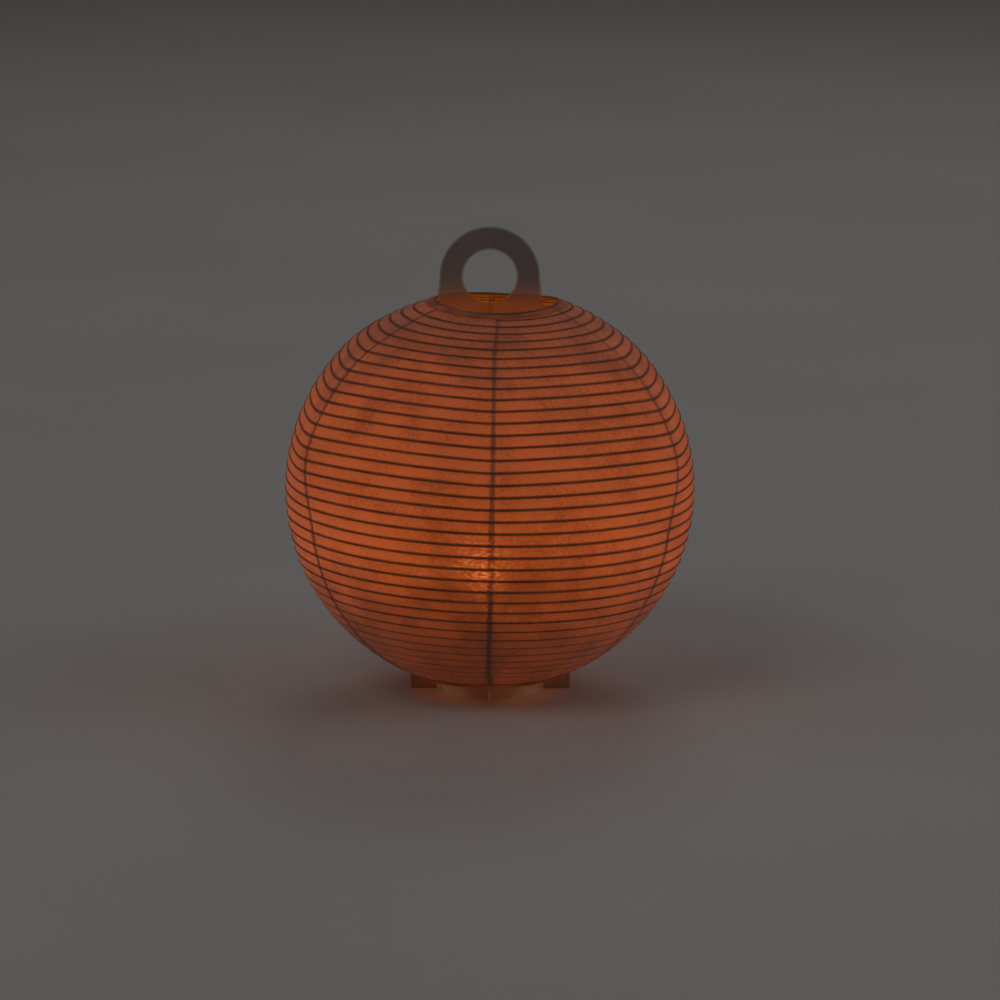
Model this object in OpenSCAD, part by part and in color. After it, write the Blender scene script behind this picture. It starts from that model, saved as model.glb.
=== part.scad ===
// Collapsible moon lantern: six washi gores on one spiral rib, held open by two
// crossed plates of clear sheet, over a battery tea light.
// +Z is up, -Y is the front, and the origin is on the table under the centre.

/* [Paper body] */
// Largest outside diameter of the paper body
body_d = 160; // [140:1:200]
// Height of the body above its widest place
upper_h = 73; // [70:0.5:95]
// Height of the body below its widest place
lower_h = 73.2; // [66:0.5:92]
// Diameter of the top mouth, at the paper's edge
top_mouth_d = 48; // [40:1:60]
// Diameter of the bottom mouth, at the paper's edge
bottom_mouth_d = 60; // [52:1:74]
// Number of washi gores
gores = 6; // [4:1:8]
// Thickness of the washi with its paste
washi_t = 0.3; // [0.2:0.05:0.5]
// Open seam left between two gores in the solid
seam_gap = 0.15; // [0.05:0.05:0.4]

/* [Ribs, hoops and threads] */
// Rib turns between the two hoops
rib_turns = 39; // [24:1:44]
// Thickness of the spiral rib wire
rib_d = 0.7; // [0.5:0.1:1]
// Thickness of the two hoop wires
hoop_d = 0.9; // [0.7:0.1:1.4]
// Gap between the paper's inside and a wire
paste_gap = 0.3; // [0.2:0.05:0.5]
// Width of the paper tape that binds each mouth, along the surface
tape_w = 3.2; // [2:0.1:5]
// Thickness of the binding tape
tape_t = 0.25; // [0.15:0.05:0.4]
// Width of a spacing thread
thread_w = 0.5; // [0.3:0.1:0.8]

/* [Plates] */
// Thickness of the clear sheet
sheet_t = 0.8; // [0.6:0.1:1.2]
// Height of the feet under the bottom hoop
foot_h = 7.1; // [5:0.1:10]
// How far a foot reaches past the bottom hoop's middle
foot_reach = 1.7; // [1.2:0.1:4]
// Outer radius of the round handle
handle_r = 19.5; // [17:0.5:22]
// Radius of the finger hole
finger_hole_r = 10.5; // [9:0.1:13]
// Height of the handle's centre above the top hoop
handle_rise = 10.8; // [9:0.1:14]
// How far each side of the handle's neck flares past the handle's radius
neck_flare = 0.9; // [0.4:0.1:1.6]
// Clearance between a plate's edge and the bottom hoop's inside
hoop_gap = 0.45; // [0.3:0.05:0.8]
// Clearance on each side of a plate in its slot
slot_gap = 0.1; // [0.05:0.05:0.2]

/* [Tea light] */
// Diameter of the tea light
candle_d = 38; // [32:0.5:42]
// Height of the tea light's body
candle_h = 32; // [26:0.5:36]
// Height of the flame cap above the body
flame_h = 20; // [16:0.5:24]
// Wall of the tea light's cup
cup_wall = 1; // [0.8:0.1:1.5]
// Clearance between the tea light and the plates
candle_gap = 2; // [1:0.1:3]
// Diameter of the coin cell
cell_d = 20; // [16:1:24]
// Thickness of the coin cell
cell_h = 3.2; // [2.5:0.1:3.5]
// Diameter of the lamp
lamp_d = 5; // [3:0.5:5]
// Travel of the switch
switch_travel = 2.5; // [2:0.1:4]
// Turn that opens the battery door, in degrees
door_turn = 60; // [45:5:80]

/* [Hidden] */
$fn = 96;
eps = 0.01;

washi_colour = "#f3e3cf";
wire_colour = "#3a2a22";
sheet_colour = "#d9d6cf";
ivory_colour = "#efe9da";
steel_colour = "#b9bcc0";

// ---- the body's outline -------------------------------------------------
front = -90;
seat_gap = 0.05;
body_r = body_d / 2;
top_angle = acos(top_mouth_d / body_d);
bottom_angle = -acos(bottom_mouth_d / body_d);
hoop_inset = washi_t / 2;
rib_inset = washi_t + paste_gap + rib_d / 2;
thread_inset = washi_t + 2 * paste_gap + rib_d;
centre_z = foot_h + seat_gap + hoop_d / 2 + lower_h * (1 - hoop_inset / body_r);

// A point of the outline, as [radius, height], at an angle above the widest place
function stretch(angle) =
  angle > 0 ? upper_h / sin(top_angle) : -lower_h / sin(bottom_angle);
function outline(angle, inset) = [
  (body_r - inset) * cos(angle),
  centre_z + (1 - inset / body_r) * stretch(angle) * sin(angle)
];
// The closed section of a layer that follows the outline between two angles
function layer(low, high, inset, thickness, steps) = concat(
  [for (i = [0 : steps]) outline(low + (high - low) * i / steps, inset)],
  [for (i = [steps : -1 : 0]) outline(low + (high - low) * i / steps, inset + thickness)]
);

pitch_angle = (top_angle - bottom_angle) / (rib_turns + 1);
tape_angle = tape_w / body_r * 180 / PI;
// The paper stops short of each hoop, so that the dark wire shows at the mouth
edge_angle = (hoop_d / 2 + paste_gap) / body_r * 180 / PI;
gore_top = top_angle - edge_angle;
gore_bottom = bottom_angle + edge_angle;
top_hoop_at = outline(top_angle, hoop_inset);
bottom_hoop_at = outline(bottom_angle, hoop_inset);

// ---- paper, rib, threads and hoops --------------------------------------
module washi_gore(number) {
  turn = 360 / gores;
  trim = seam_gap / body_r * 180 / PI;
  color(washi_colour)
    rotate([0, 0, front + (number - 1) * turn + trim / 2])
      rotate_extrude(angle = turn - trim)
        polygon(layer(gore_bottom, gore_top, 0, washi_t, rib_turns + 1));
}

// One wire wound down the inside, from the front under the top hoop
module spiral_rib() {
  steps_per_turn = 24;
  sides = 3;
  count = steps_per_turn * (rib_turns - 1);
  start = top_angle - pitch_angle;
  points = [
    for (i = [0 : count])
      let (
        turned = front + 360 * i / steps_per_turn,
        angle = start - pitch_angle * i / steps_per_turn
      )
      for (k = [0 : sides - 1])
        let (
          around = 360 * k / sides,
          at = outline(angle, rib_inset + rib_d / 2 * cos(around)),
          up = rib_d / 2 * sin(around)
        )
        [at[0] * cos(turned), at[0] * sin(turned), at[1] + up]
  ];
  walls = [
    for (i = [0 : count - 1], k = [0 : sides - 1])
      let (
        a = i * sides + k,
        b = i * sides + (k + 1) % sides
      )
      each [[a, b, b + sides], [a, b + sides, a + sides]]
  ];
  ends = [
    [for (k = [sides - 1 : -1 : 0]) k],
    [for (k = [0 : sides - 1]) count * sides + k]
  ];
  color(wire_colour) polyhedron(points, concat(walls, ends));
}

// Six cotton threads, one behind each seam, that keep the turns apart
module spacing_threads() {
  width_angle = thread_w / body_r * 180 / PI;
  color("#cdbfa8")
    for (i = [0 : gores - 1])
      rotate([0, 0, front + i * 360 / gores - width_angle / 2])
        rotate_extrude(angle = width_angle)
          polygon(layer(
            bottom_angle + pitch_angle, top_angle - pitch_angle,
            thread_inset, thread_w / 2, rib_turns - 1
          ));
}

module hoop(at) {
  color(wire_colour)
    rotate_extrude()
      translate(at) circle(d = hoop_d);
}

// Paper tape pasted over the gore ends, round a mouth
module tape(low, high, gap) {
  color(washi_colour)
    rotate_extrude()
      polygon(layer(low, high, -gap - tape_t, tape_t, 4));
}
module top_tape() tape(gore_top - tape_angle, gore_top, seat_gap);
module bottom_tape() tape(gore_bottom, gore_bottom + tape_angle, paste_gap);

// ---- crossed plates -----------------------------------------------------
blade_r = bottom_hoop_at[0] - hoop_d / 2 - hoop_gap;
neck_r = min(handle_r + neck_flare, top_hoop_at[0] - hoop_d / 2 - hoop_gap);
foot_r = bottom_hoop_at[0] + foot_reach;
seat_z = top_hoop_at[1] - hoop_d / 2 - seat_gap;
neck_h = hoop_d + seat_gap;
shoulder_r = top_hoop_at[0] + 0.3;
shoulder_drop = 4.5;
arch_r = candle_d / 2 + candle_gap;
flame_room = 10;
arch_top = candle_h + flame_h + flame_room;
handle_z = top_hoop_at[1] + handle_rise;
lap_z = (arch_top + seat_z) / 2;
slot_w = sheet_t + 2 * slot_gap;

// The blade that both plates share, from its feet to the neck inside the top hoop
module blade() {
  foot_slope = 1.2;
  half = [
    [foot_r, 0], [foot_r, foot_h - foot_slope], [foot_r - foot_slope / 2, foot_h],
    [blade_r, foot_h], [blade_r, seat_z - shoulder_drop],
    [shoulder_r, seat_z], [neck_r, seat_z], [neck_r, seat_z + neck_h]
  ];
  mirrored = [for (i = [len(half) - 1 : -1 : 0]) [-half[i][0], half[i][1]]];
  difference() {
    polygon(concat(half, mirrored));
    translate([0, arch_top - arch_r]) circle(r = arch_r);
    translate([-arch_r, -1]) square([2 * arch_r, arch_top - arch_r + 1]);
  }
}

module handle_outline() {
  neck_top = seat_z + neck_h;
  translate([0, handle_z]) circle(r = handle_r);
  polygon([
    [-neck_r, neck_top - eps], [neck_r, neck_top - eps],
    [handle_r, handle_z], [-handle_r, handle_z]
  ]);
}

module upright(thickness)
  rotate([90, 0, 0])
    translate([0, 0, -thickness / 2]) linear_extrude(thickness) children();

module handle_plate() {
  color(sheet_colour)
    upright(sheet_t)
      difference() {
        union() {
          blade();
          handle_outline();
        }
        translate([0, handle_z]) circle(r = finger_hole_r);
        translate([-slot_w / 2, arch_top - arch_r / 2])
          square([slot_w, lap_z - arch_top + arch_r / 2]);
      }
}

module cross_plate() {
  color(sheet_colour)
    rotate([0, 0, 90])
      upright(sheet_t)
        difference() {
          blade();
          translate([-slot_w / 2, lap_z + slot_gap])
            square([slot_w, seat_z + neck_h - lap_z + 1]);
        }
}

// ---- tea light ----------------------------------------------------------
candle_r = candle_d / 2;
wick_r = lamp_d / 2 + 2.1;
bowl_drop = 1.6;
base_z = 0.5;
door_t = 1.5;
door_r = cell_d / 2 + 1;
tab_reach = 1.3;
tab_t = 0.6;
tab_w = 4;
run_gap = 0.15;
lip_t = 0.8;
cell_z = base_z + door_t + run_gap;
cell_wall = 1.1;
cell_gap = 0.25;
base_r = candle_r - cup_wall - run_gap;
floor_t = 2.6;
lamp_z = candle_h + 1;
switch_y = (door_r + tab_reach + base_r) / 2 + 0.4;
knob_l = 3;
knob_w = 2.4;

module candle_cup() {
  top_t = 1.2;
  color(ivory_colour)
    rotate_extrude()
      polygon([
        [candle_r - cup_wall, 0], [candle_r, 0], [candle_r, candle_h - 1.2],
        [candle_r - 0.35, candle_h - 0.35], [candle_r - 1.2, candle_h],
        [candle_r - 3.6, candle_h], [candle_r - 4.6, candle_h - bowl_drop / 2],
        [candle_r - 6.4, candle_h - bowl_drop], [wick_r, candle_h - bowl_drop],
        [wick_r, candle_h - bowl_drop - top_t],
        [candle_r - cup_wall - 3, candle_h - bowl_drop - top_t],
        [candle_r - cup_wall, candle_h - bowl_drop - top_t - 2]
      ]);
}

// Floor of the tea light: door seat with its groove, cell holder and switch slot
module candle_base() {
  groove_top = base_z + lip_t + tab_t + 2 * run_gap;
  holder_r = cell_d / 2 + cell_gap;
  holder_top = cell_z + cell_h + 0.9;
  color(ivory_colour)
    difference() {
      rotate_extrude()
        polygon([
          [door_r + run_gap, base_z], [base_r, base_z], [base_r, base_z + floor_t],
          [holder_r + cell_wall, base_z + floor_t], [holder_r + cell_wall, holder_top],
          [holder_r, holder_top], [holder_r, groove_top],
          [door_r + tab_reach + run_gap, groove_top],
          [door_r + tab_reach + run_gap, base_z + lip_t], [door_r + run_gap, base_z + lip_t]
        ]);
      // The two gaps that let the door's tabs in
      for (side = [0, 180])
        rotate([0, 0, side + door_turn])
          translate([0, -tab_w / 2 - run_gap, base_z - 1])
            cube([door_r + tab_reach + run_gap, tab_w + 2 * run_gap, lip_t + 1 + eps]);
      // The switch's slot
      translate([-knob_l / 2 - run_gap, switch_y - knob_w / 2 - run_gap, base_z - 1])
        cube([knob_l + switch_travel + 2 * run_gap, knob_w + 2 * run_gap, floor_t + 2]);
      // The slot for the side contact
      translate([-2.2, holder_r - 1, cell_z + 0.6])
        cube([4.4, cell_wall + 2, cell_h + 2]);
    }
}

module battery_door() {
  slot_l = 13;
  slot_width = 1.8;
  slot_depth = 0.7;
  color(ivory_colour)
    difference() {
      union() {
        translate([0, 0, base_z]) cylinder(r = door_r, h = door_t);
        for (side = [0, 180])
          rotate([0, 0, side])
            translate([door_r - 1, -tab_w / 2, base_z + lip_t + run_gap])
              cube([1 + tab_reach, tab_w, tab_t]);
      }
      translate([-slot_l / 2, -slot_width / 2, base_z - 1])
        cube([slot_l, slot_width, 1 + slot_depth]);
    }
}

module coin_cell() {
  can_h = cell_h - 0.5;
  color(steel_colour) {
    translate([0, 0, cell_z]) cylinder(d = cell_d, h = can_h);
    translate([0, 0, cell_z + can_h - eps]) cylinder(d = cell_d - 2.4, h = cell_h - can_h);
  }
}

// A strip of spring sheet, bent along a path of [x, z] points
module strip(path, thickness, width)
  translate([0, width / 2, 0])
    rotate([90, 0, 0])
      linear_extrude(width)
        polygon(concat(
          path, [for (i = [len(path) - 1 : -1 : 0]) path[i] + [0, thickness]]
        ));

contact_t = 0.25;
contact_w = 4;
holder_top_z = cell_z + cell_h + 0.9 + seat_gap;
module minus_contact() {
  reach = cell_d / 2 + cell_gap + cell_wall;
  color(steel_colour)
    strip(
      [[-reach, holder_top_z], [-4, holder_top_z], [-1.5, cell_z + cell_h + 0.1],
       [1.5, cell_z + cell_h + 0.1], [3.5, holder_top_z]],
      contact_t, contact_w
    );
}

// Upright strip that presses on the side of the cell and ends over the switch
module plus_contact() {
  side_y = cell_d / 2 + 0.1;
  foot_z = base_z + floor_t + 1.4;
  reach = switch_y - side_y + 1.6;
  width = 3.6;
  color("#c9a24a")
    translate([-width / 2, side_y, 0])
      rotate([90, 0, 90])
        linear_extrude(width)
          polygon([
            [0, cell_z + 0.9], [contact_t, cell_z + 0.9], [contact_t, foot_z],
            [reach, foot_z], [reach, foot_z + contact_t],
            [contact_t, foot_z + contact_t], [contact_t, cell_z + cell_h],
            [0, cell_z + cell_h]
          ]);
}

module switch_knob() {
  cap_w = knob_w + 1.4;
  cap_t = 0.6;
  cap_z = base_z + floor_t + run_gap;
  color("#3b3b3d") {
    translate([-knob_l / 2, switch_y - knob_w / 2, base_z - 0.3])
      cube([knob_l, knob_w, cap_z - base_z + 0.3 + eps]);
    translate([-knob_l / 2, switch_y - cap_w / 2, cap_z]) cube([knob_l, cap_w, cap_t]);
  }
}

module lamp() {
  body_h = 6;
  flange_h = 1;
  color("#ffe9b8")
    translate([0, 0, lamp_z]) {
      cylinder(d = lamp_d + 0.8, h = flange_h);
      cylinder(d = lamp_d, h = body_h);
      translate([0, 0, body_h]) sphere(d = lamp_d);
    }
}

module lamp_leads() {
  lead_r = 0.25;
  spread = 1.27;
  low = holder_top_z + contact_t + seat_gap;
  plus_z = base_z + floor_t + 1.4 + contact_t + seat_gap;
  jog_z = holder_top_z + 3;
  color(steel_colour) {
    translate([-spread, 0, low + 0.1]) cylinder(r = lead_r, h = lamp_z - low - 0.1);
    translate([spread, 0, jog_z]) cylinder(r = lead_r, h = lamp_z - jog_z);
    translate([spread, 0, jog_z]) sphere(r = lead_r);
    translate([spread, 0, jog_z]) rotate([-90, 0, 0]) cylinder(r = lead_r, h = switch_y);
    translate([spread, switch_y, jog_z]) sphere(r = lead_r);
    translate([spread, switch_y, plus_z]) cylinder(r = lead_r, h = jog_z - plus_z);
  }
}

// Hollow flame-shaped cap, plugged into the cup's wick hole
module flame_cap() {
  wall = 0.8;
  plug_r = wick_r - run_gap;
  belly_r = plug_r + 1.6;
  plug_z = candle_h - bowl_drop - 1;
  sit_z = candle_h - bowl_drop + seat_gap;
  tip_z = candle_h + flame_h;
  rise = tip_z - sit_z;
  steps = 18;
  function flame_r(t) = belly_r * (1 - pow(max(0, t - 0.3) / 0.7, 1.7))
    * (0.86 + 0.14 * sin(min(90, t * 300)));
  outside = [for (i = [0 : steps]) [max(flame_r(i / steps), 0), sit_z + rise * i / steps]];
  inside = [
    for (i = [steps - 1 : -1 : 0])
      let (t = i / steps)
      [max(flame_r(t) - wall - 0.3 * t, 0), sit_z + (rise - 2 * wall) * t]
  ];
  color("#fff3d6")
    rotate_extrude()
      polygon(concat(
        [[plug_r, plug_z], [plug_r, sit_z]], outside, [[0, tip_z - 2.5 * wall]], inside,
        [[plug_r - wall, plug_z]]
      ));
}

washi_gore(1);  // washi_gore_1
washi_gore(2);  // washi_gore_2
washi_gore(3);  // washi_gore_3
washi_gore(4);  // washi_gore_4
washi_gore(5);  // washi_gore_5
washi_gore(6);  // washi_gore_6
spiral_rib();
spacing_threads();
hoop(top_hoop_at);  // top_hoop
top_tape();
hoop(bottom_hoop_at);  // bottom_hoop
bottom_tape();
handle_plate();
cross_plate();
candle_cup();
candle_base();
flame_cap();
lamp();
lamp_leads();
coin_cell();
minus_contact();
plus_contact();
battery_door();
switch_knob();
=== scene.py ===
# %% [markdown]
# # A paper moon lantern
# The lantern is washi, a strong paper of long plant fibres, pasted over one thin wire that winds
# round and round from the top mouth to the bottom mouth. Two crossed plates of clear sheet hold it
# open, and a small battery tea light stands in the middle. The CAD model gives every size and
# place, so the first step loads it.

import math

import bpy
import numpy as np
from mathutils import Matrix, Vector


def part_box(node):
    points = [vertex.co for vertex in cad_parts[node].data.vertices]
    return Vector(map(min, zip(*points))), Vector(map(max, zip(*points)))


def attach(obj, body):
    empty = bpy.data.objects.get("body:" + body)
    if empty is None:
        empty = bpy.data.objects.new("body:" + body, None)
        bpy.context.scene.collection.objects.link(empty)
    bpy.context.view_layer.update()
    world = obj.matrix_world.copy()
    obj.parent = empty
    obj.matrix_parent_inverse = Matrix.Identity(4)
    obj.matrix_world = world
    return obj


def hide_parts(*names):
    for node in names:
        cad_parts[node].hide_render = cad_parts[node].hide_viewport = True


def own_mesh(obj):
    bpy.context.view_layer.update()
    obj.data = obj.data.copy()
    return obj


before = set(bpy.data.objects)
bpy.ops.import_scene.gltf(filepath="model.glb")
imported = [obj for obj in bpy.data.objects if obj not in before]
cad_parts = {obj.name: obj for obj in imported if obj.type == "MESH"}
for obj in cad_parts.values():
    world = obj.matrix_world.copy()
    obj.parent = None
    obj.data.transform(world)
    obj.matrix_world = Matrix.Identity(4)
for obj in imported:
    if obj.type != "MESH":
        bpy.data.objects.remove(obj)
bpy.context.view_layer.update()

# %% [markdown]
# Blender works in metres here, and the parts of a lantern are small. A value named MM keeps the
# sizes readable, because 0.7 * MM says what a ruler would say.

# %% Driving sizes
MM = 0.001
FRONT = -90
GORES = 6
RIB_TURNS = 39
WASHI_T = 0.16 * MM
RIB_R = 0.30 * MM
HOOP_INSET = 0.15 * MM
WIDEST_Z = 80.66 * MM


def ring(node):
    """Middle radius, middle height and wire radius of a hoop in the CAD model."""
    low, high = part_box(node)
    wire = (high[2] - low[2]) / 2
    return high[0] - wire, (low[2] + high[2]) / 2, wire


top_r, top_z, hoop_wire = ring("top_hoop")
bottom_r, bottom_z, _ = ring("bottom_hoop")
body_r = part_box("washi_gore_2")[1][0]
print(f"body radius {body_r / MM:.2f} mm, mouths {top_r / MM:.2f} and {bottom_r / MM:.2f} mm")

# %% [markdown]
# The body isn't a true ball. Its upper and lower halves are stretched by different amounts, and its
# poles are cut off at the mouths. In the upper half the six threads pull the wire into a soft
# hexagon with a corner at the front. The whole body leans a little to the right, and the top mouth
# sags at the front and back, where no shoulder holds it up. Every paper part, wire and thread
# follows this one surface, so one function gives a point of it. It counts down in rib pitches from
# the top hoop, because the rib is what a maker would count by, and round in degrees from the front.

# %% The body's surface
top_angle = math.degrees(math.acos(top_r / (body_r - HOOP_INSET)))
bottom_angle = -math.degrees(math.acos(bottom_r / (body_r - HOOP_INSET)))
pitch = (top_angle - bottom_angle) / (RIB_TURNS + 1)
pitch_length = math.radians(pitch) * body_r
RIM_LIFT = 1.6 * MM
RIM_SAG = 1.70 * MM
stretch_up = (top_z + RIM_LIFT - WIDEST_Z) / math.sin(math.radians(top_angle))
stretch_down = (bottom_z - WIDEST_Z) / math.sin(math.radians(bottom_angle))
CORNER_PULL = 0.56
LEAN = 0.0171
RIM_SHIFT = 1.4 * MM


def ease(share):
    """0 below 0, 1 above 1, and a smooth step between them."""
    held = np.clip(share, 0, 1)
    return held * held * (3 - 2 * held)


def corners(turn, angle):
    """How far the six threads pull the upper half out of round, as a share of the radius."""
    nearest_face = (turn % (360 / GORES)) - 180 / GORES
    hexagon = 1 / np.cos(np.radians(nearest_face)) - 1
    blunt = 0.125 - np.logaddexp(0, (0.125 - hexagon) * 60) / 60
    held = ease((angle + 8) / 26) * (1 - ease((angle - 42) / 24))
    return CORNER_PULL * held * blunt


def near_feet(pitches):
    """1 at the bottom mouth, which the feet hold straight, and 0 on most of the body."""
    return ease((pitches - 34) / 6)


def lean(pitches, rise):
    """How far the body's middle stands off the axis along X, which the feet limit at the bottom."""
    held_by_feet = 1 - 0.72 * near_feet(pitches)
    return LEAN * rise * held_by_feet + RIM_SHIFT * (1 - ease(pitches / 7))


def surface(pitches, turn, out=0.0):
    """Points on the paper's outside, or out metres above it, as an array of x, y, z."""
    pitches, turn, out = np.broadcast_arrays(pitches, turn, out)
    angle = top_angle - pitches * pitch
    reach = (body_r + out) * np.cos(np.radians(angle)) * (1 + corners(turn, angle))
    stretch = np.where(angle > 0, stretch_up, stretch_down)
    rise = (1 + out / body_r) * stretch * np.sin(np.radians(angle))
    round_body = np.radians(turn + FRONT)
    across = reach * np.cos(round_body)
    sag = RIM_SAG * np.sin(round_body) ** 2 * (1 - ease(pitches / 10))
    tilt = LEAN * across * (1 - near_feet(pitches))
    height = WIDEST_Z + rise - sag - tilt
    return np.stack([across + lean(pitches, rise), reach * np.sin(round_body), height], axis=-1)


print(f"rib pitch {pitch:.3f} degrees, or {pitch_length / MM:.2f} mm of paper")

# %% [markdown]
# Four small helpers turn rows of points into Blender objects. The first makes a sheet from a grid,
# the second sweeps a round wire along a path, the third puts the mesh in the scene, and the last
# gives a sheet its thickness. Building meshes from arrays is quick, and it keeps every piece of the
# body tied to the surface above.

# %% Helpers for meshes
def grid_object(name, points, wrap=False, marks=None):
    """A sheet from a grid of points, with float marks on its points for the materials to read."""
    rows, columns = points.shape[:2]
    count = columns if wrap else columns - 1
    index = np.arange(rows * columns).reshape(rows, columns)
    left = index[:, :count]
    right = np.roll(index, -1, axis=1)[:, :count]
    faces = np.stack([left[:-1], left[1:], right[1:], right[:-1]], axis=-1).reshape(-1, 4)
    mesh = bpy.data.meshes.new(name)
    mesh.from_pydata(points.reshape(-1, 3).tolist(), [], faces.tolist())
    for mark, values in (marks or {}).items():
        layer = mesh.attributes.new(mark, "FLOAT", "POINT")
        layer.data.foreach_set("value", np.ascontiguousarray(values, dtype=np.float32).ravel())
    return place(name, mesh)


def wire_object(name, paths, radii, sides=10, closed=False):
    """Round wires swept along paths of points, as one mesh. Each radius may change along its path."""
    points, faces = [], []
    for path, radius in zip(paths, radii):
        path = np.asarray(path, float)
        ahead = np.roll(path, -1, axis=0) - np.roll(path, 1, axis=0)
        if not closed:
            ahead[0] = path[1] - path[0]
            ahead[-1] = path[-1] - path[-2]
        ahead /= np.linalg.norm(ahead, axis=1)[:, None]
        outward = path - np.array([0, 0, WIDEST_Z])
        side = np.cross(ahead, outward)
        side /= np.linalg.norm(side, axis=1)[:, None]
        up = np.cross(side, ahead)
        spin = np.linspace(0, 2 * math.pi, sides, endpoint=False)
        ring_of = np.cos(spin)[None, :, None] * side[:, None] + np.sin(spin)[None, :, None] * up[:, None]
        thick = np.broadcast_to(radius, len(path))[:, None, None]
        first = len(points)
        points.extend((path[:, None] + thick * ring_of).reshape(-1, 3).tolist())
        steps = len(path) if closed else len(path) - 1
        for i in range(steps):
            a = first + i * sides
            b = first + (i + 1) % len(path) * sides
            faces.extend([a + k, a + (k + 1) % sides, b + (k + 1) % sides, b + k] for k in range(sides))
        if not closed:
            last = first + (len(path) - 1) * sides
            faces.append([first + k for k in reversed(range(sides))])
            faces.append([last + k for k in range(sides)])
    mesh = bpy.data.meshes.new(name)
    mesh.from_pydata(points, [], faces)
    return place(name, mesh)


def place(name, mesh):
    """A smooth-shaded object of this mesh, in the scene."""
    mesh.validate()
    mesh.shade_smooth()
    obj = bpy.data.objects.new(name, mesh)
    bpy.context.scene.collection.objects.link(obj)
    return obj


def thicken(obj, thickness, inner_slot=0):
    """Gives a sheet its thickness, inwards. The inside can take another material slot."""
    solid = obj.modifiers.new("thickness", "SOLIDIFY")
    solid.thickness = thickness
    solid.offset = -1
    solid.material_offset = inner_slot
    return obj


# %% [markdown]
# Every finish is a small network of nodes. These helpers add a node, join sockets and make the two
# patterns that nearly all finishes share: soft noise in the object's own space, and a range that
# turns it into a roughness or a colour. Object space keeps the grain the same size on every piece.

# %% Helpers for materials
def new_finish(name):
    """An empty node material: its nodes, a function that joins sockets, and its Principled node."""
    finish = bpy.data.materials.new(name)
    finish.use_nodes = True
    nodes = finish.node_tree.nodes
    return finish, nodes, finish.node_tree.links.new, nodes["Principled BSDF"]


def noise(nodes, join, scale, detail=3.0, squeeze=(1, 1, 1), kind="FBM"):
    """Noise in the object's own space. Scale counts features to the metre."""
    where = nodes.new("ShaderNodeTexCoord")
    shape = nodes.new("ShaderNodeMapping")
    shape.inputs["Scale"].default_value = squeeze
    pattern = nodes.new("ShaderNodeTexNoise")
    pattern.noise_type = kind
    pattern.inputs["Scale"].default_value = scale
    pattern.inputs["Detail"].default_value = detail
    join(where.outputs["Object"], shape.inputs["Vector"])
    join(shape.outputs["Vector"], pattern.inputs["Vector"])
    return pattern.outputs["Fac"]


def ranged(nodes, join, source, low, high, to_low, to_high, smooth=False):
    """The source's stretch from low to high, mapped to another stretch."""
    change = nodes.new("ShaderNodeMapRange")
    change.interpolation_type = "SMOOTHSTEP" if smooth else "LINEAR"
    for socket, value in zip(("From Min", "From Max", "To Min", "To Max"), (low, high, to_low, to_high)):
        change.inputs[socket].default_value = value
    join(source, change.inputs["Value"])
    return change.outputs["Result"]


def blend_colours(nodes, join, share, first, second):
    """A colour between two others, each a socket or four numbers."""
    mix = nodes.new("ShaderNodeMix")
    mix.data_type = "RGBA"
    join(share, mix.inputs["Factor"])
    for socket, colour in (("A", first), ("B", second)):
        target = [s for s in mix.inputs if s.name == socket and s.type == "RGBA"][0]
        if isinstance(colour, tuple):
            target.default_value = colour
        else:
            join(colour, target)
    return [s for s in mix.outputs if s.type == "RGBA"][0]


def maths(nodes, join, operation, first, second):
    """One step of arithmetic. Either side is a socket or a number."""
    step = nodes.new("ShaderNodeMath")
    step.operation = operation
    for socket, value in zip(step.inputs, (first, second)):
        if isinstance(value, (int, float)):
            socket.default_value = value
        else:
            join(value, socket)
    return step.outputs["Value"]


def bumped(nodes, join, shader, height, depth):
    """Makes the shader's surface rise and fall with height, by depth metres."""
    bump = nodes.new("ShaderNodeBump")
    bump.inputs["Strength"].default_value = 0.8
    bump.inputs["Distance"].default_value = depth
    join(height, bump.inputs["Height"])
    join(bump.outputs["Normal"], shader.inputs["Normal"])
    return bump


def mixed(nodes, join, share, first, second):
    """A shader between two others. The share of the second is a socket or a number."""
    mix = nodes.new("ShaderNodeMixShader")
    if isinstance(share, float):
        mix.inputs["Fac"].default_value = share
    else:
        join(share, mix.inputs["Fac"])
    join(first, mix.inputs[1])
    join(second, mix.inputs[2])
    return mix.outputs["Shader"]


def marked(nodes, mark):
    """A float mark that a mesh carries on its points."""
    reader = nodes.new("ShaderNodeAttribute")
    reader.attribute_name = mark
    return reader.outputs["Fac"]


# %% [markdown]
# ## Washi
# Lit from behind, washi glows orange and shows its long fibres as a cloudy pattern of strands. Part
# of that glow is painted light: an orange glow that the paper gives off of its own. Where the wire
# runs under it or two gores overlap it is darker: the wire's own colour shows through, and painted
# shadow of the wire and the lap dims the glow. All of that is one pattern, worked out first: noise
# for the clouds, fibres and grain, times the marks that the mesh carries. The marks say how far a
# point is from the wire and from a seam, how strongly the lamp lights it, with painted shade low
# down and under the top mouth, and where a painted hot spot lies on the front near the flame.

# %% Washi, pattern of light
# The colours of the painted glow that the paper and the tape give off of their own.
GLOW_DEEP = (0.80, 0.135, 0.018, 1)
GLOW_BRIGHT = (1.0, 0.195, 0.032, 1)


# How much the painted hot spot adds to the glow.
HOT_SPOT_GLOW = 9.0


def product(nodes, join, *shares):
    """All the shares multiplied together."""
    result = shares[0]
    for share in shares[1:]:
        result = maths(nodes, join, "MULTIPLY", result, share)
    return result


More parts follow.
